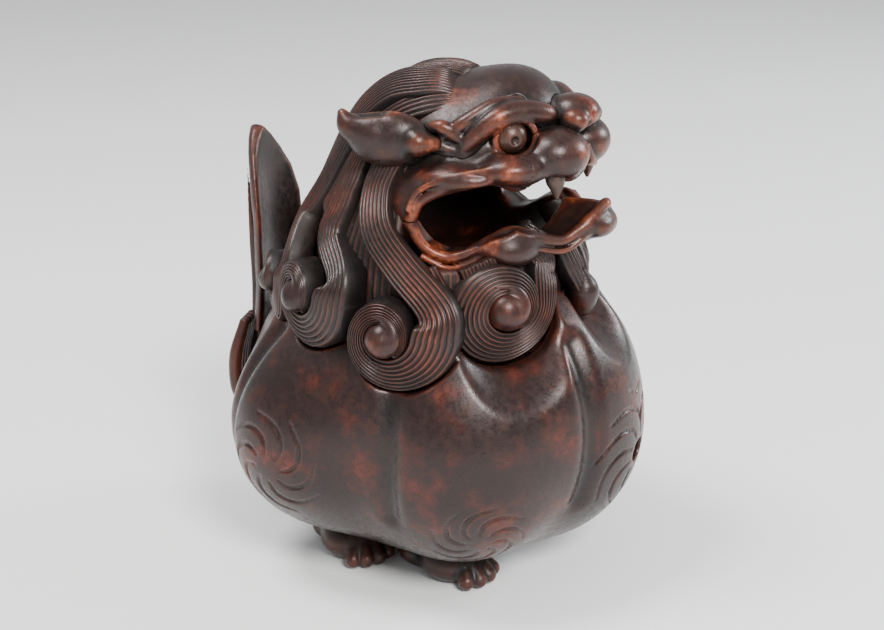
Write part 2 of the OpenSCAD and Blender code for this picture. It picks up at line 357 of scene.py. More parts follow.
class Nodes:
    """A little helper that adds nodes and joins them."""

    def __init__(self, name):
        self.material = bpy.data.materials.new(name)
        self.material.use_nodes = True
        self.tree = self.material.node_tree
        self.shader = self.tree.nodes["Principled BSDF"]

    def add(self, kind, settings=None, **sockets):
        node = self.tree.nodes.new(kind)
        for key, value in (settings or {}).items():
            setattr(node, key, value)
        for key, value in sockets.items():
            socket = node.inputs[key.replace("_", " ")] if not key.startswith("i") or not key[1:].isdigit() \
                else node.inputs[int(key[1:])]
            self.feed(socket, value)
        return node

    def feed(self, socket, value):
        if isinstance(value, bpy.types.NodeSocket):
            self.tree.links.new(value, socket)
        else:
            socket.default_value = value

    def maths(self, operation, a, b=0.0, clamp=False):
        node = self.add("ShaderNodeMath", {"operation": operation, "use_clamp": clamp}, i0=a, i1=b)
        return node.outputs[0]

    def fit(self, value, low, high, to_low=0.0, to_high=1.0):
        node = self.add("ShaderNodeMapRange", {"interpolation_type": "SMOOTHSTEP"}, Value=value)
        for key, number in (("From Min", low), ("From Max", high), ("To Min", to_low), ("To Max", to_high)):
            node.inputs[key].default_value = number
        return node.outputs[0]

    def mix(self, share, a, b):
        node = self.add("ShaderNodeMix", {"data_type": "RGBA"})
        self.feed(node.inputs[0], share)
        self.feed(node.inputs[6], a)
        self.feed(node.inputs[7], b)
        return node.outputs[2]

    def noise(self, scale, detail=4.0, roughness=0.55, offset=0.0):
        place = self.add("ShaderNodeTexCoord").outputs["Object"]
        if offset:
            shift = self.add("ShaderNodeVectorMath", {"operation": "ADD"}, i0=place)
            shift.inputs[1].default_value = (offset, offset * 0.7, -offset)
            place = shift.outputs[0]
        node = self.add("ShaderNodeTexNoise", Scale=scale, Detail=detail, Roughness=roughness, Vector=place)
        return node.outputs["Fac"]

    def measure(self, key):
        return self.add("ShaderNodeAttribute", {"attribute_name": key}).outputs["Fac"]


def plain(name, colour, roughness):
    n = Nodes(name)
    grain = n.noise(400.0, 3.0)
    shade = n.fit(grain, 0.3, 0.7, 0.97, 1.0)
    tint = n.mix(shade, (colour[0] * 0.9, colour[1] * 0.9, colour[2] * 0.9, 1), (*colour, 1))
    n.feed(n.shader.inputs["Base Color"], tint)
    n.shader.inputs["Roughness"].default_value = roughness
    return n.material


def bronze(name, dark, worn, wear, from_proud=0.03, to_proud=0.35, gloss=0.30, sculpted=True,
           speck=0.8):
    """Old patinated bronze: dark skin, red-brown mottling where it stands proud, dull in the grooves."""
    n = Nodes(name)
    cloud = n.noise(30.0, 4.0, 0.6)
    blotch = n.noise(95.0, 5.0, 0.65, 5.3)
    fleck = n.noise(520.0, 6.0, 0.75, 3.1)
    grain = n.noise(1800.0, 3.0, 0.6, 1.7)
    brown = (dark[0] * 2.6, dark[1] * 1.6, dark[2] * 1.3, 1)
    red = (worn[0] * 0.34, worn[1] * 0.22, worn[2] * 0.24, 1)
    skin = n.mix(n.fit(n.maths("ADD", n.maths("MULTIPLY", cloud, 0.6), n.maths("MULTIPLY", fleck, 0.4)),
                       0.44, 0.60), (*dark, 1), brown)
    proud = n.measure("proud") if sculpted else n.fit(n.add("ShaderNodeNewGeometry").outputs["Pointiness"],
                                                      0.46, 0.56, -0.1, 0.4)
    fine = n.measure("fine") if sculpted else 0.0
    base = n.fit(proud, from_proud, to_proud)
    patch = n.fit(n.maths("ADD", n.maths("MULTIPLY", cloud, 0.55), n.maths("MULTIPLY", blotch, 0.45)), 0.49, 0.61)
    rubbed = n.maths("MULTIPLY", base, n.maths("ADD", n.maths("MULTIPLY", patch, 0.85), 0.15), True)
    rubbed = n.maths("MULTIPLY", rubbed, wear, True)
    colour = n.mix(rubbed, skin, red)
    bright = n.maths("MULTIPLY", n.fit(rubbed, 0.25, 0.95), n.fit(fleck, 0.47, 0.60, 0.0, speck), True)
    colour = n.mix(bright, colour, (*worn, 1))
    sunk = n.fit(proud, -0.10, -0.60)
    colour = n.mix(n.maths("MULTIPLY", sunk, 0.85, True), colour, (0.006, 0.0045, 0.004, 1))
    if sculpted:
        edge = n.maths("MULTIPLY", n.fit(fine, 0.03, 0.12), n.fit(blotch, 0.40, 0.60, 0.10, 0.40 * wear), True)
        colour = n.mix(edge, colour, (worn[0] * 0.75, worn[1] * 0.75, worn[2] * 0.9, 1))
    n.feed(n.shader.inputs["Base Color"], colour)
    rough = n.maths("ADD", n.fit(fleck, 0.35, 0.7, gloss, gloss + 0.16), n.maths("MULTIPLY", sunk, 0.3), True)
    n.feed(n.shader.inputs["Roughness"], rough)
    n.shader.inputs["Metallic"].default_value = 0.25
    n.shader.inputs["Specular IOR Level"].default_value = 0.45
    relief = n.maths("ADD", n.maths("MULTIPLY", fleck, 0.7), n.maths("MULTIPLY", grain, 0.35))
    bump = n.add("ShaderNodeBump", Strength=0.22, Distance=0.0004, Height=relief)
    n.feed(n.shader.inputs["Normal"], bump.outputs["Normal"])
    return n.material


def make_materials():
    dark = (0.011, 0.0078, 0.0072)
    black = (0.008, 0.0064, 0.0062)
    orange = (0.36, 0.095, 0.032)
    red = (0.24, 0.062, 0.028)
    red_brown = (0.26, 0.060, 0.024)
    return {
        "bronze_body": bronze("body_patina", black, red_brown, 0.60, -0.04, 0.30, 0.25, speck=0.35),
        "bronze_paw": bronze("paw_patina", dark, red, 0.7, 0.1, 0.8, 0.34),
        "bronze_head": bronze("head_patina", dark, orange, 0.80, -0.14, 0.22, 0.28),
        "bronze_worn": bronze("rubbed_patina", dark, orange, 0.95, -0.12, 0.42, 0.26),
        "bronze_mane": bronze("mane_patina", dark, red, 0.75, 0.05, 0.40, 0.28),
        "bronze_tail": bronze("tail_patina", dark, red, 0.6, 0.05, 0.4, 0.30),
        "bronze_eye": bronze("eye_patina", (0.028, 0.020, 0.017), red, 0.6, 0.1, 0.6, 0.26),
        "bronze_tooth": bronze("tooth_patina", (0.030, 0.024, 0.021), (0.20, 0.10, 0.06), 0.6, 0.0, 0.5, 0.34),
        "bronze_inner": bronze("inner_patina", dark, red, 0.5, 0.1, 0.5, 0.36, sculpted=False),
        "copper_liner": bronze("liner_copper", (0.12, 0.050, 0.028), (0.5, 0.2, 0.1), 0.8, 0.0, 0.4, 0.32,
                               sculpted=False),
    }


def dress(piece, slot, body):
    """Gives a piece its material and the body it rides on."""
    piece.data.materials.clear()
    piece.data.materials.append(MATERIALS[slot])
    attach(piece, body)


# ---------- head ----------

MOUTH_Y = -12.0
UPPER_RIM = [(0, 33, 121), (7, 33.5, 117), (18, 33.5, 115.5), (30, 30.8, 117.3), (43, 30, 114.3),
             (57, 31, 116.5), (72, 30.8, 115.2), (84, 31.3, 113.2), (92, 32.2, 110.5), (96, 32.6, 106)]
LOWER_RIM = [(0, 39.0, 108.2), (9, 37.4, 105.5), (20, 34.5, 101), (31, 32.5, 101.5), (46, 30.5, 104.3),
             (57, 29.5, 102.2), (70, 30.0, 98.6), (80, 30.4, 97.8), (90, 31.8, 100.5), (96, 32.6, 106)]


def rim_point(row, out=0.0, rise=0.0):
    """A point on the mouth's rim: its turn from the front in degrees, its reach and its height."""
    turn, reach, z = row
    a = math.radians(turn)
    return (-(reach + out) * math.sin(a), MOUTH_Y - (reach + out) * math.cos(a), z + rise)


def mouth_gap(x, y, z):
    """Below zero between the upper and the lower rim."""
    turn = np.degrees(np.arctan2(np.abs(x), -(y - MOUTH_Y)))
    upper, lower = np.array(UPPER_RIM, float), np.array(LOWER_RIM, float)
    high = np.interp(turn, upper[:, 0], upper[:, 2])
    low = np.interp(turn, lower[:, 0], lower[:, 2])
    return np.maximum(low - z, z - high), (high + low) / 2


def lip(clay, rows, out, rise, radius, k, cut=False):
    clay.rope([rim_point(r, out, rise) for r in rows], [radius, radius], k, 8 * len(rows), cut)


def sculpt_head():
    """The whole head's distances, with each feature's own rough form kept to part it by."""
    c = Clay((-43, -60, 88), (0.36, 30, 147), HEAD_STEP)
    x, y, z = c.at()
    c.egg((0, -12, 118), (26, 25, 22), 1)
    c.egg((0, -24.5, 127.5), (15, 13, 14), 7)
    c.egg((0, -20, 121), (22, 20, 13), 6)
    # the drum of the mouth, drawn in under the jaw
    drum = smooth_max(egg(x, y, z, (0, MOUTH_Y, 107), (32.5, 33, 22)), 89.5 - z, 3)
    c.merge(c.part((-60, -70, 0), (60, 60, 200)), drum, 3)
    c.egg((0, -43, 103.2), (11, 8.5, 6.2), 5)
    c.egg((0, -49.5, 102.0), (6.4, 3.6, 3.4), 1.2)
    c.egg((-18, -31, 98.5), (9, 7, 5), 4)
    # cheeks and muzzle
    c.egg((-20, -31.5, 119.5), (8.5, 7.5, 4.2), 3, turn=-38)
    c.egg((-27, -18, 117), (5, 10, 3.6), 3)
    muzzle = egg(x, y, z, (-9.8, -39.4, 121.8), (9.2, 8.6, 6.9), -16, 0)
    muzzle = smooth_min(muzzle, egg(x, y, z, (-18.6, -34.0, 119.2), (6.5, 5.5, 4.2), -40, 0), 3)
    c.merge(c.part((-60, -70, 0), (60, 60, 200)), muzzle, 1.2)
    # nose, with its wings and nostrils
    nose = egg(x, y, z, (0, -40.6, 131.0), (6.0, 7.0, 4.7))
    nose = smooth_min(nose, egg(x, y, z, (-4.9, -42.4, 129.8), (3.5, 4.2, 3.2), -20, 0), 1.2)
    c.merge(c.part((-60, -70, 0), (60, 60, 200)), nose, 0.9)
    c.rope([(0, -46.5, 127.5), (0, -47.2, 123.5), (0, -46.8, 119.0)], [0.7, 0.6, 0.6], 0.9, cut=True)
    c.egg((-3.6, -46.4, 128.4), (1.7, 1.6, 1.2), 0.8, cut=True)
    # eye socket and lids
    c.egg((-16.4, -30.5, 126.4), (6.8, 6.0, 5.6), 1.2, cut=True)
    ring = [(-17.6 - 3.6 * math.cos(a), -31.4 + 4.1 * math.cos(a), 126.5 + 4.9 * math.sin(a))
            for a in np.linspace(0, 2 * math.pi, 13)]
    c.rope(ring, [0.85, 0.85], 0.9, 60)
    # brow, a scrolled ridge that rolls down behind the eye
    brow = Clay.__new__(Clay)
    brow.step, brow.low, brow.axes = c.step, c.low, c.axes
    brow.d = np.full(c.d.shape, FAR, np.float32)
    brow.rope([(-6.0, -36.2, 130.6), (-9.5, -35.8, 131.6), (-14.5, -31.6, 132.6), (-19.5, -27.2, 131.6),
               (-22.6, -22.5, 127.6), (-23.0, -19.5, 123.2)], [2.2, 2.9, 3.3, 3.1, 2.6, 2.0], 0.6, 40)
    brow.rope([(-12, -30, 135.0), (-18, -25.5, 134.4), (-23, -19.5, 130.5), (-24.6, -14.5, 127.0)],
              [1.4, 2.0, 2.0, 1.5], 0.6, 30)
    brow.rope([(-23.5, -19.0, 126.5), (-25.0, -14.5, 129.4), (-25.0, -9.5, 128.6)], [1.7, 2.0, 1.2], 0.6, 24)
    brow.rope([(-24.0, -17.0, 123.5), (-25.4, -12.0, 125.2), (-25.2, -7.0, 124.4)], [1.5, 1.8, 1.0], 0.6, 24)
    c.merge(c.part((-60, -70, 0), (60, 60, 200)), brow.d, 0.8)
    # ear, a curled leaf
    ear = Clay.__new__(Clay)
    ear.step, ear.low, ear.axes = c.step, c.low, c.axes
    ear.d = np.full(c.d.shape, FAR, np.float32)
    ear.egg((-28.2, -1.5, 126.0), (5.2, 10.4, 7.2), 1.0, turn=14)
    ear.rope([(-30.0, 3.0, 127.5), (-32.0, 7.6, 129.4), (-32.4, 9.6, 132.6)], [4.6, 3.2, 1.2], 2.0, 30)
    ear.rope([(-27.2, -13.0, 125.6), (-29.0, -9.5, 125.8)], [2.0, 3.4], 1.5, 24)
    ear.rope([(-29.4, 0.5, 133.4), (-31.4, 4.6, 132.6)], [1.6, 0.8], 1.2, 12, cut=True)
    c.merge(c.part((-60, -70, 0), (60, 60, 200)), ear.d, 0.7)
    # the open mouth, and its two beaded rims
    gap, middle = mouth_gap(x, y, z)
    reach = np.sqrt(x * x + (y - MOUTH_Y) ** 2)
    hole = np.maximum(gap, y - MOUTH_Y - 4.0)
    hole = np.maximum(hole, 14.0 - reach)
    c.d = smooth_max(c.d, -hole, 1.2)
    c.egg((0, -11, 108), (27.5, 27.5, 17.5), 1.5, cut=True)
    c.d = smooth_max(c.d, -np.maximum(egg(x, y, z, (0, -10, 118), (22, 21, 18)), z - 136), 1.5)
    lip(c, UPPER_RIM, -0.9, 0.8, 1.45, 0.7)
    lip(c, LOWER_RIM, -0.9, -0.8, 1.45, 0.7)
    lip(c, UPPER_RIM[2:], 0.4, 3.6, 0.8, 0.7)
    lip(c, LOWER_RIM[:-1], -0.2, -3.4, 0.8, 0.7)
    forms = {"nose": nose, "muzzle": muzzle, "brow": brow.d, "ear": ear.d}
    return c, forms, middle


def make_head():
    c, forms, middle = sculpt_head()
    x, y, z = c.at()
    nothing = np.full(c.d.shape, FAR, np.float32)
    everything = nothing
    for form in forms.values():
        everything = np.minimum(everything, form)
    shell = c.d
    jaw_side = z - middle
    # each pair first, from the right half alone
    for name in ("muzzle", "brow", "ear"):
        rest = nothing
        for other, form in forms.items():
            if other != name:
                rest = np.minimum(rest, form)
        part = np.maximum(shell, np.maximum(forms[name] - 0.5, 0.5 * (forms[name] - rest)))
        part = np.maximum(part, x + 0.02) if name == "muzzle" else part
        points, faces, marks = cast(name, c, part)
        for piece, node in both_sides(name, points, faces, marks, name):
            dress(piece, "bronze_worn", "head")
            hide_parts(node)
    singles = {
        "nose": (np.maximum(shell, np.maximum(forms["nose"] - 0.5, 0.5 * (forms["nose"] - np.minimum(
            forms["muzzle"], forms["brow"])))), "bronze_worn", ("nose",)),
        "skull": (np.maximum(np.maximum(shell, 0.5 - everything), -jaw_side), "bronze_head", ("skull",)),
        "lower_jaw": (np.maximum(np.maximum(shell, 0.5 - everything), jaw_side), "bronze_head",
                      ("lower_jaw",)),
    }
    whole = c.mirrored()
    for name, (part, slot, nodes) in singles.items():
        both = np.concatenate([part, part[-2::-1]], axis=0)
        points, faces, marks = cast(name, whole, both)
        piece = put(name, points, faces, marks)
        dress(piece, slot, "head")
        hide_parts(*nodes)


def small_piece(name, low, high, build, slot, nodes, body="head", pair=True, step=SMALL_STEP):
    """Sculpts one small casting in its own block, and its mirror image where it is one of a pair."""
    c = Clay(low, high, step)
    build(c)
    points, faces, marks = cast(name, c, c.d, 1.4)
    if pair:
        made = both_sides(name, points, faces, marks, nodes)
    else:
        made = [(put(name, points, faces, marks), nodes)]
    for piece, node in made:
        dress(piece, slot, body)
        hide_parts(node)


def build_eye(c):
    c.egg((-16.5, -29.3, 126.7), (4.5, 4.5, 4.5), 0.5)
    look = np.array([-0.74, -0.66, -0.08])
    c.egg(np.array([-16.5, -29.3, 126.7]) + look * 4.7, (1.2, 1.2, 1.2), 0.5, cut=True)


def build_teeth(c):
    for cx in (-4.1, -1.35, 1.35, 4.1):
        tooth = egg(*c.at(), (cx, -42.2 + 0.1 * cx * cx, 117.5), (1.42, 1.3, 3.3))
        tooth = smooth_max(tooth, 114.9 - c.at()[2], 0.8)
        c.merge(c.part(c.low, c.low + 99), tooth, 0.25)
    c.rope([(-6, -40.6, 119.5), (0, -42.0, 119.9), (6, -40.6, 119.5)], [1.5, 1.6, 1.5], 0.6)


def build_fang(c):
    c.rope([(-12.2, -39.6, 119.0), (-13.4, -40.8, 115.8), (-13.0, -41.2, 111.4)], [2.8, 2.5, 0.6], 0.5, 24)


def make_face_trim():
    small_piece("eye", (-23, -36, 120), (-10, -22, 133), build_eye, "bronze_eye", "eye")
    small_piece("front_teeth", (-9, -46, 112), (9, -37, 123), build_teeth, "bronze_tooth", "front_teeth",
                pair=False)
    small_piece("fang", (-17, -46, 108), (-8, -36, 123), build_fang, "bronze_tooth", "fang")


# ---------- mane ----------

UP = np.array([0.0, 0.0, 1.0])


def cape_field(x, y, z):
    """The smooth hood that the hair lies on."""
    low = egg(x, y, z, (0, -3.0, 84), (38.5, 36.5, 40))
    top = egg(x, y, z, (0, -5.5, 113), (27.0, 26.5, 27.0))
    return smooth_min(low, top, 9)


def cape_normal(p):
    e = 0.2
    g = np.stack([cape_field(p[:, 0] + (i == 0) * e, p[:, 1] + (i == 1) * e, p[:, 2] + (i == 2) * e)
                  - cape_field(p[:, 0] - (i == 0) * e, p[:, 1] - (i == 1) * e, p[:, 2] - (i == 2) * e)
                  for i in range(3)], axis=1)
    return g / np.maximum(np.linalg.norm(g, axis=1, keepdims=True), 1e-9)


def onto_cape(p, rise=0.0):
    """Moves points along the hood's normal until they lie on it, rise millimetres out."""
    for _ in range(4):
        d = cape_field(p[:, 0], p[:, 1], p[:, 2]) - rise
        p = p - cape_normal(p) * d[:, None]
    return p


def ribbon_mesh(outer, inner, normal, ridges, thick, lift, crowned=1.3, depth=0.62, fade=(0.06, 0.0)):
    """A ridged band between two edge curves: closed, with rounded sides and small end caps."""
    count = len(outer)
    t = np.linspace(0, 1, count)
    across = 7 * ridges + 1
    s = np.linspace(0, 1, across)
    place = 1 - s
    strip = inner[:, None] + (outer - inner)[:, None] * place[None, :, None]
    ridge = np.abs(np.sin(math.pi * ridges * s)) ** 0.75 * depth
    crown = (4 * s * (1 - s)) ** 0.55 * crowned
    calm = np.ones(count)
    if fade[0]:
        calm = np.minimum(calm, np.clip(t / fade[0], 0, 1))
    if fade[1]:
        calm = np.minimum(calm, np.clip((1 - t) / fade[1], 0, 1))
    calm = calm * calm * (3 - 2 * calm)
    height = lift[:, None] + crown[None] * np.minimum(1, calm[:, None] + 0.2) + ridge[None] * calm[:, None]
    top = strip + normal[:, None] * height[..., None]
    floor = strip[:, ::-6] + normal[:, None] * (lift[:, None, None] - thick)
    rings = np.concatenate([top, floor], axis=1)
    size = rings.shape[1]
    points = rings.reshape(-1, 3)
    a = np.arange(count - 1)[:, None] * size
    b = np.arange(size)[None]
    n = (np.arange(size) + 1) % size
    quads = np.stack([a + b, a + n[None], a + size + n[None], a + size + b], axis=-1).reshape(-1, 4)
    ends = [rings[0].mean(0), rings[-1].mean(0)]
    points = np.vstack([points, ends])
    first, last = len(points) - 2, len(points) - 1
    base = (count - 1) * size
    caps = [(first, int(n[i]), i) for i in range(size)]
    caps += [(last, base + i, base + int(n[i])) for i in range(size)]
    proud = np.full(rings.shape[:2], -0.3, np.float32)
    proud[:, :across] = (ridge[None] / depth - 0.45) * 0.5 * calm[:, None] + (crown[None] / crowned - 0.7) * 0.3
    fine = np.full(rings.shape[:2], -0.1, np.float32)
    fine[:, :across] = (ridge[None] / depth - 0.6) * 0.25 * calm[:, None]
    marks = {"proud": np.append(proud.ravel(), [0, 0]), "fine": np.append(fine.ravel(), [0, 0])}
    return points, quads, caps, marks


def join_pieces(parts):
    """Puts several closed meshes into one, as points, faces and marks."""
    points, faces, marks = [], [], {"proud": [], "fine": []}
    start = 0
    for p, quads, caps, m in parts:
        points.append(p)
        body = [tuple(q) for q in (np.asarray(quads) + start).tolist()]
        ends = [tuple(i + start for i in cap) for cap in caps]
        tris = np.array([cap for cap in caps], int) if caps else np.zeros((0, 3), int)
        volume = signed_volume(p, np.asarray(quads)) + (signed_volume(p, tris) if len(tris) else 0)
        if volume < 0:
            body = [q[::-1] for q in body]
            ends = [q[::-1] for q in ends]
        faces += body + ends
        for key in marks:
            marks[key].append(m[key])
        start += len(p)
    return np.vstack(points), faces, {key: np.concatenate(v) for key, v in marks.items()}


def strand_edges(path, widths, count):
    """Edge curves of a band that follows a path over the hood."""
    p = onto_cape(spline(path, count))
    n = cape_normal(p)
    along = np.gradient(p, axis=0)
    along /= np.linalg.norm(along, axis=1, keepdims=True)
    side = np.cross(n, along)
    side /= np.linalg.norm(side, axis=1, keepdims=True)
    w = np.interp(np.linspace(0, 1, count), np.linspace(0, 1, len(widths)), widths)[:, None] / 2
    return p, n, side, w


def band(path, widths, ridges, rise=0.6, thick=3.0, count=70, crowned=1.3, fade=(0.05, 0.08)):
    """A lock that only runs over the hood, tapering at its ends."""
    p, n, side, w = strand_edges(path, widths, count)
    a, b = onto_cape(p + side * w), onto_cape(p - side * w)
    lift = np.full(count, rise)
    return ribbon_mesh(a, b, n, ridges, thick, lift, crowned, fade=fade)


def curl_lock(centre, reaches, path, widths, ridges=8, turns=1.15, rise=2.2, thick=6.0, start=0.0, face=None):
    """A lock that comes down a path and winds into a spiral curl with a smooth bulb at its heart.

    The reaches are the curl's outer radius at each quarter turn, from its front side, down and round.
    """
    centre = np.array(centre, float)
    flat = np.array([centre[0], centre[1] - BODY_Y, 0.0]) if face is None else np.array([*face, 0.0])
    n = flat / np.linalg.norm(flat)
    front = np.cross(UP, n)
    swing = math.radians(start)
    steps = int(100 * turns)
    theta = np.linspace(0, 2 * math.pi * turns, steps)
    table = spline([(k, r, 0) for k, r in enumerate(reaches)], 240)

    def reach(angle):
        return np.interp(angle / (math.pi / 2), table[:, 0], table[:, 1])

    def on_disc(r, angle):
        """A point r from the heart, the angle running from the front, down and round."""
        flat_part = (np.cos(angle)[:, None] * front - np.sin(angle)[:, None] * UP) * r[:, None]
        return centre + flat_part - n * (0.011 * r * r)[:, None]

    angle = theta + swing
    outer, inner = on_disc(reach(theta), angle), on_disc(reach(theta + 2 * math.pi), angle)
    normal = np.repeat(n[None], steps, 0)
    lift = rise + 1.4 * theta / theta[-1]
    join = (outer[0] + inner[0]) / 2
    count = 70
    p = spline([*[np.array(q, float) for q in path], join + UP * 7, join], count)
    share = np.linspace(0, 1, count)
    hood = onto_cape(p.copy())
    blend = np.clip((share - 0.6) / 0.4, 0, 1)[:, None]
    blend = blend * blend * (3 - 2 * blend)
    p = hood * (1 - blend) + p * blend
    p = p + (join - p[-1]) * blend
    pn = cape_normal(p) * (1 - blend) + n * blend
    pn /= np.linalg.norm(pn, axis=1, keepdims=True)
    along = np.gradient(p, axis=0)
    along /= np.linalg.norm(along, axis=1, keepdims=True)
    side = np.cross(along, pn)
    side /= np.linalg.norm(side, axis=1, keepdims=True)
    want = outer[0] - inner[0]
    if side[-1] @ want < 0:
        side = -side
    w = np.interp(share, np.linspace(0, 1, len(widths) + 1), [*widths, np.linalg.norm(want)])[:, None] / 2
    edge_a, edge_b = p + side * w, p - side * w
    edge_a = edge_a + (outer[0] - edge_a[-1]) * blend ** 3
    edge_b = edge_b + (inner[0] - edge_b[-1]) * blend ** 3
    outer = np.vstack([edge_a[:-1], outer])
    inner = np.vstack([edge_b[:-1], inner])
    normal = np.vstack([pn[:-1], normal])
    lift = np.concatenate([np.interp(share[:-1], [0, 0.3, 1], [0.4, 1.6, rise]), lift])
    strip = ribbon_mesh(outer, inner, normal, ridges, thick, lift, fade=(0.04, 0.05))
    return strip, bulb(centre, n, front, UP, reaches[5] * 0.92, rise + 1.8, theta[-1] + swing)


def bulb(centre, n, front, high, radius, rise, angle):
    """The smooth comma at a curl's heart."""
    seat = centre + n * (rise - radius * 0.30)
    low, high_corner = seat - radius * 3.0, seat + radius * 3.0
    c = Clay(low, high_corner, SMALL_STEP * 1.3)
    c.egg(seat, (radius, radius, radius), 0.5)
    tail = []
    for k in range(8):
        a = angle - k * 0.42
        r = radius * (0.30 + 0.17 * k)
        tail.append(seat + (math.cos(a) * front - math.sin(a) * high) * r + n * (radius * (0.42 - 0.03 * k)))
    c.rope(tail, [radius * 0.55, radius * 0.5, radius * 0.38, radius * 0.24, radius * 0.1], 1.6, 40)
    points, quads = skin_of(c.d, c.low, c.step)
    marks = {"proud": np.full(len(points), 0.45), "fine": np.full(len(points), 0.04)}
    return points, quads, [], marks


def flip(part):
    """The mirror image of a mesh part."""
    p, quads, caps, m = part
    return p * np.array([-1, 1, 1]), quads, caps, m


def add_lock(name, node, parts, slot="bronze_mane"):
    for side, turned in (("right", False), ("left", True)):
        points, faces, marks = join_pieces([flip(p) if turned else p for p in parts])
        piece = put(f"{name}_{side}", points, faces, marks)
        dress(piece, slot, "head")
        if node:
            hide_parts(f"{node}_{side}")


# heart, and outer radius at each quarter turn from the front side, down and round
CURLS = {
    "front": ((-25.0, -31.0, 84.0), [15.8, 14.8, 15.0, 12.0, 9.0, 5.6, 4.8, 4.5, 4.4, 4.3]),
    "side": ((-44.5, -7.5, 79.5), [19.0, 14.0, 9.6, 9.6, 6.6, 5.0, 4.6, 4.4, 4.3, 4.2]),
    "rear": ((-37.5, 18.5, 85.5), [17.5, 13.8, 9.6, 9.0, 6.0, 4.8, 4.4, 4.2, 4.1, 4.0]),
    "last": ((-25.0, 32.5, 84.5), [12.0, 11.5, 8.0, 7.4, 4.8, 3.8, 3.4, 3.2, 3.1, 3.0]),
}


def make_mane():
    fan = [band([(x, -24, 96), (x - 0.5, -27, 90), (x - 1.0, -28, 84)], [5.4, 5.0, 4.0], 5, 0.6)
           for x in (-31.0, -26.5, -22.0)]
    fan += [band([(-34, -14, 95), (-34, -17, 90), (-33, -20, 84)], [5.5, 5.5, 4.0], 5, 0.6)]
    front = curl_lock(*CURLS["front"], [(-17, -34, 103), (-13.5, -38, 95)], [9, 8.5], 8)
    add_lock("lock_front", "lock_front", [*front, *fan])
    side = curl_lock(*CURLS["side"], [(-23, -6, 125), (-26, -2, 121), (-31, 1, 113), (-35, -1, 104), (-39, -9, 96)],
                     [6, 8, 9, 9, 10], 8)
    add_lock("lock_side", "lock_side", list(side))
    rear = curl_lock(*CURLS["rear"], [(-25, 8, 124), (-28, 11, 117), (-31, 13, 109), (-34, 14, 100)], [6, 8, 8.5, 9], 7)
    add_lock("lock_rear", "lock_rear", list(rear))
    last = curl_lock(*CURLS["last"], [(-9, -14, 139), (-12, -4, 138), (-13, 5, 136), (-17, 17, 129), (-20, 25, 117), (-22, 30, 103)],
                     [11, 13, 14, 15, 13, 11], 11)
    flank = band([(-15, -15, 136), (-19, -6, 135), (-22, 1, 133), (-25, 10, 127), (-26, 18, 116), (-27, 23, 104)],
                 [8, 9, 9, 8, 7, 5], 6, 0.2)
    crown = band([(-3.2, -15, 140), (-3.4, -5, 139), (-4.0, 6, 137), (-5.5, 19, 131), (-7, 28, 120), (-8, 34, 106), (-8, 37.5, 90),
                  (-7, 38.5, 80)], [7, 7, 8, 9, 10, 10, 9, 4], 8, 0.5)
    tip = band([(-13, 30, 112), (-15, 35, 100), (-14, 38.5, 88), (-10, 39.5, 80)], [5, 8, 7, 2], 5, 1.6)
    add_lock("lock_flame", "lock_flame", [*last, crown, tip, flank])


def make_hood():
    """The smooth shell under the hair, open below for the collar and in front for the face."""
    c = Clay((-44, -46, COLLAR_TOP - 1), (0.45, 42, 142), 0.45 * COARSE)
    x, y, z = c.at()
    comb = np.abs(np.sin(60 * np.arctan2(x, -(y - BODY_Y))))
    outer = cape_field(x, y, z) + 0.45 * (1 - comb) - 0.2
    ring = np.sqrt(x * x + (y - BODY_Y) ** 2)
    shell = np.maximum(outer, -(outer + 3.0))
    shell = smooth_min(shell, np.maximum(np.maximum(ring - COLLAR_R + 0.2, COLLAR_IN_R - ring),
                                         z - COLLAR_TOP - 2.0), 1.0)
    shell = np.maximum(shell, COLLAR_TOP - z)
    shell = smooth_max(shell, -np.maximum(y + 6.5, 94.5 - z), 0.8)
    c.d = shell.astype(np.float32)
    whole = c.mirrored()
    points, faces, marks = cast("mane_shell", whole, whole.d)
    marks["proud"] = marks["proud"] * 0 - 0.4
    piece = put("mane_shell", points, faces, marks)
    dress(piece, "bronze_mane", "head")
    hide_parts("mane_shell")


def make_tuft():
    """The fan of hair under the chin, ending in a smooth drop."""
    parts = []
    for lean in (-1, 0, 1):
        path = [(lean * 4.5, -39.0, 97), (lean * 4.0, -42.0, 91), (lean * 2.0, -44.0, 85), (lean * 0.5, -44.5, 80)]
        p = spline(path, 40)
        n = np.repeat(np.array([[lean * 0.35, -1.0, -0.1]]), 40, 0)
        n /= np.linalg.norm(n, axis=1, keepdims=True)
        along = np.gradient(p, axis=0)
        side = np.cross(n, along)
        side /= np.linalg.norm(side, axis=1, keepdims=True)
        w = np.interp(np.linspace(0, 1, 40), [0, 0.4, 1], [5.5, 5.5, 3.0])[:, None] / 2
        parts.append(ribbon_mesh(p + side * w, p - side * w, n, 4, 4.0, np.full(40, 0.4)))
    c = Clay((-7, -52, 73), (7, -36, 92), SMALL_STEP * 1.3)
    c.rope([(0, -44.5, 88), (0, -45.3, 83), (0, -44.6, 78.5), (0, -43.8, 75.8)], [1.4, 4.2, 3.4, 1.0], 0.5, 24)
    points, quads = skin_of(c.d, c.low, c.step)
    marks = {"proud": np.full(len(points), 0.4), "fine": np.full(len(points), 0.04)}
    points, faces, marks = join_pieces(parts + [(points, quads, [], marks)])
    piece = put("chin_tuft", points, faces, marks)
    dress(piece, "bronze_mane", "head")
    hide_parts("chin_tuft")


# ---------- body ----------

def globe_field(x, y, z):
    half = BODY_HALF[:2] - 2.4
    below = egg(x, y, z, (0, BODY_Y, BODY_Z), (*half, 48.5))
    above = egg(x, y, z, (0, BODY_Y, BODY_Z), (*half, SHOULDER))
    return np.where(z < BODY_Z, below, above)


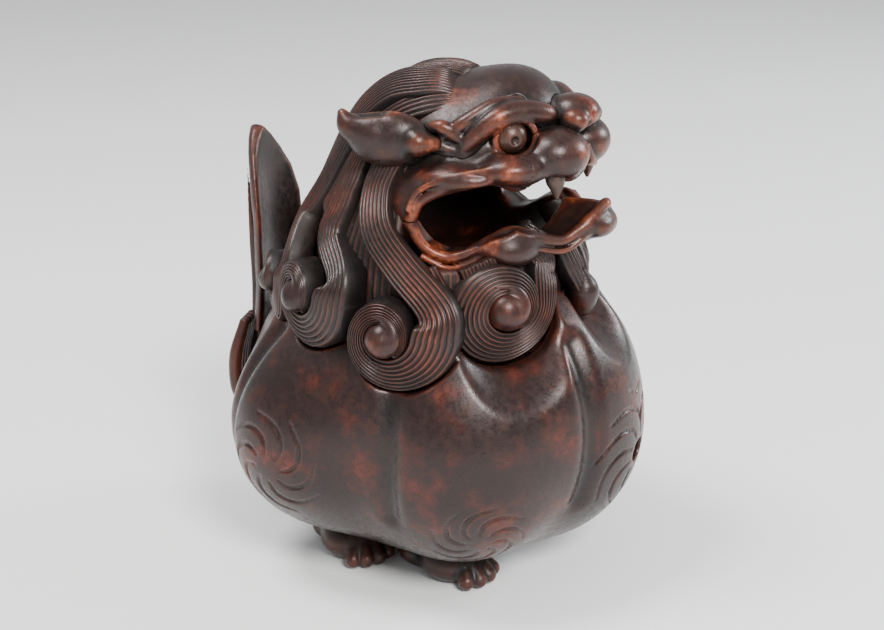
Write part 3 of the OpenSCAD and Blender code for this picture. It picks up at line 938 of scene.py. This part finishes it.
def whorl(clay, surface, centre, size, petals, twist):
    """Curved grooves that turn around a point of the globe, like petals."""
    centre = np.array(centre, float)
    n = np.array([centre[0] / BODY_HALF[0] ** 2, (centre[1] - BODY_Y) / BODY_HALF[1] ** 2,
                  (centre[2] - BODY_Z) / 48.7 ** 2])
    n /= np.linalg.norm(n)
    across = np.cross(UP, n)
    across /= np.linalg.norm(across)
    high = np.cross(n, across)
    for k in range(petals):
        start = 2 * math.pi * k / petals
        path = []
        for t in np.linspace(0, 1, 6):
            r = size * (0.30 + 0.70 * t)
            a = start + twist * t * t
            q = centre + (math.cos(a) * across + math.sin(a) * high) * r
            for _ in range(8):
                q = q - n * float(surface.sample(q)) * 0.9
            path.append(q)
        clay.rope(path, [0.35, 0.6, 0.6, 0.25], 0.3, 30, cut=True)


def make_body():
    c = Clay((-BODY_HALF[0] - 2.5, BODY_LOW[1] - 3, -1.0), (0.5, BODY_HIGH[1] + 3, SEAT_Z + 14), BODY_STEP)
    x, y, z = c.at()
    c.d = (globe_field(x, y, z) + 0 * c.d).astype(np.float32)
    c.egg((-27, 18, 43), (24.0, 29, 28), 8)
    c.egg((-25, -20, 42), (24.5, 26, 30), 8)
    c.egg((0, -32, 41), (21, 29.2, 31), 8)
    # creases between the lobes
    for turn, top in ((22, 74), (84, 72), (140, 72)):
        a = math.radians(turn)
        path = []
        for h in (top, 64, 54, 42, 30):
            q = np.array([-math.sin(a) * 60, BODY_Y - math.cos(a) * 60, float(h)])
            inward = np.array([math.sin(a), math.cos(a), 0])
            for _ in range(12):
                q = q + inward * float(c.sample(q))
            path.append(q)
        c.rope(path, [1.3, 1.1, 0.8, 0.4, 0.05], 6.0, 40, cut=True)
    ring = np.sqrt(x * x + (y - BODY_Y) ** 2)
    outer = c.d.copy()
    # room for the lid, and the scallops where the curls hang
    pockets = np.full(c.d.shape, FAR, np.float32)
    for centre, reaches in CURLS.values():
        flat = np.array([centre[0], centre[1] - BODY_Y, 0.0])
        n = flat / np.linalg.norm(flat)
        front = np.cross(UP, n)
        u = (x - centre[0]) * front[0] + (y - centre[1]) * front[1]
        v = z - centre[2]
        w = (x - centre[0]) * n[0] + (y - centre[1]) * n[1]
        angle = np.mod(np.arctan2(-v, u), 2 * math.pi)
        edge = np.interp(angle / (math.pi / 2), [0, 1, 2, 3, 4], [*reaches[:4], reaches[0]])
        wide = np.where(u > 0, reaches[0], reaches[2])
        pocket = np.where(v > 0, np.abs(u) - wide, np.sqrt(u * u + v * v) - edge) - 0.5
        slope = w - 4.0 - 1.5 * np.maximum(pocket, 0)
        c.d = smooth_max(c.d, slope, 4.0)
        pockets = np.minimum(pockets, np.maximum(pocket, -4.5 - w))
    drop = np.sqrt(x * x + np.minimum(z - 81, 0) ** 2) - 6.4
    c.d = smooth_max(c.d, -45.0 - y - 1.5 * np.maximum(drop, 0), 4.0)
    pockets = np.minimum(pockets, np.maximum(drop, y + 38))
    c.d = np.maximum(c.d, -(c.d + 3.4))
    c.d = smooth_max(c.d, -pockets, 0.7)
    c.d = smooth_max(c.d, -np.maximum(cape_field(x, y, 82 + 0 * z) - 1.0, SEAT_Z - 0.4 - z), 0.8)
    c.d = np.maximum(c.d, -np.maximum(ring - RING_R, 64.5 - z))
    # engraved whorls
    skin = Clay(c.low, c.low + c.step, c.step)
    skin.d = outer
    whorl(c, skin, (0, -62.2, VENT_Z), 18, 9, 1.1)
    whorl(c, skin, (-38, -30, 27), 13, 8, -1.1)
    whorl(c, skin, (-46, 24, 40), 15, 8, 1.1)
    whorl(c, skin, (-22, 50, 36), 12, 8, -1.1)
    bore = VENT_R - np.sqrt(x * x + (z - VENT_Z) ** 2)
    c.d = np.where(y < 0, smooth_max(c.d, bore, 0.6), c.d)
    c.d = c.d.astype(np.float32)
    whole = c.mirrored()
    points, faces, marks = cast("body_shell", whole, whole.d, 3.0)
    piece = put("body_shell", points, faces, marks)
    dress(piece, "bronze_body", "body")
    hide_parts("body_shell")
    return outer, c


def build_paw(toes, at, turn, body_outer, body_clay):
    def build(c):
        a = math.radians(turn)
        def place(px, py, pz):
            return (at[0] + px * math.cos(a) - py * math.sin(a), at[1] + px * math.sin(a) + py * math.cos(a), pz)
        c.egg(place(0, 3, 5.5), (10, 10, 6.6), 2, turn=turn)
        c.egg(place(0, 14, 4.0), (8, 8, 4.6), 3, turn=turn)
        for i in range(toes):
            fan = (i - (toes - 1) / 2) * 26
            b = math.radians(fan)
            tip = place(math.sin(b) * 8.5, -math.cos(b) * 8.5, 2.9)
            knuckle = place(math.sin(b) * 4.2, -math.cos(b) * 4.2, 5.6)
            c.rope([place(math.sin(b) * 1, 0, 6.5), knuckle, tip], [2.6, 2.9, 2.3], 0.6, 18)
        x, y, z = c.at()
        c.d = smooth_max(c.d, 0.02 - z, 0.6)
        inside = globe_field(x, y, z) + 1.2
        c.d = np.maximum(c.d, -inside).astype(np.float32)
    return build


def make_paws(body):
    for name, at, turn, toes in (("front_paw", (-19, -18), -20, 4), ("hind_paw", (-19, 14), -38, 4)):
        low = (at[0] - 22, at[1] - 22, -1)
        high = (min(at[0] + 22, -0.4), at[1] + 26, 18)
        small_piece(name, low, high, build_paw(toes, at, turn, *body), "bronze_paw", name, "body",
                    step=SMALL_STEP * 1.6)


def build_tail(c):
    x, y, z = c.at()
    outline = [(60, 8), (68, 9), (78, 11.5), (90, 13), (99, 12.9), (107, 11), (113, 8), (117, 5.2), (119.3, 2.6), (120.4, 0)]
    half = np.interp(z, [p[0] for p in outline], [p[1] for p in outline])
    middle = 50.2 + np.interp(z, [60, 75, 95, 108, 121], [3.0, 1.0, 0.8, 1.6, 3.2]) - 0.024 * x * x
    flat = np.abs(y - middle) - 2.1 + 0.9 * np.clip(np.abs(x) / np.maximum(half, 0.5), 0, 1) ** 2
    side = (np.abs(x) - half) * 0.85
    leaf = smooth_max(flat, side, 2.2)
    leaf = np.maximum(leaf, 60 - z)
    c.merge(c.part(c.low, c.low + 999), leaf + 0 * c.d, 0.5)
    for i in range(-3, 4):
        spread = i / 3.0
        path = [(spread * 7 * w, 52.6 + b - 1.2 * abs(spread) ** 2 * w * w, h) for w, b, h in
                ((0.8, 2.2, 66), (1.05, 1.1, 76), (1.35, 0.9, 88), (1.3, 1.1, 98), (0.8, 2.0, 110))]
        c.rope(path, [0.4, 0.6, 0.6, 0.4, 0.1], 0.9, 30)
    c.d = np.maximum(c.d, -(globe_field(x, y, z) + 0.6)).astype(np.float32)


def build_tail_root(c):
    x, y, z = c.at()
    for i in range(-3, 4):
        c.rope([(i * 2.3, 58.0 - abs(i) * 0.5, 62), (i * 3.1, 61.2 - abs(i) * 0.9, 52),
                (i * 3.2, 61.4 - abs(i) * 1.0, 42), (i * 2.0, 59.6 - abs(i) * 0.7, 33)],
               [1.6, 2.1, 2.0, 0.9], 0.4, 24)
    c.d = np.maximum(c.d, -(globe_field(x, y, z) + 0.9)).astype(np.float32)


def make_tail():
    small_piece("tail", (-15, 42, 55), (15, 62, 126), build_tail, "bronze_tail", "tail", "body", pair=False,
                step=SMALL_STEP * 1.5)
    small_piece("tail_root", (-16, 48, 28), (16, 67, 68), build_tail_root, "bronze_tail", "tail_root", "body",
                pair=False, step=SMALL_STEP * 1.5)


# ---------- the whole ----------

make_camera()
make_studio()
MATERIALS = make_materials()
for node in ("neck_ring", "lid_collar", "tail_rivet", "ash_liner"):
    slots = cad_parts[node].data.materials
    slots.clear()
    slots.append(MATERIALS["copper_liner" if node == "ash_liner" else "bronze_inner"])
make_head()
make_face_trim()
make_hood()
make_mane()
make_tuft()
make_paws(make_body())
make_tail()
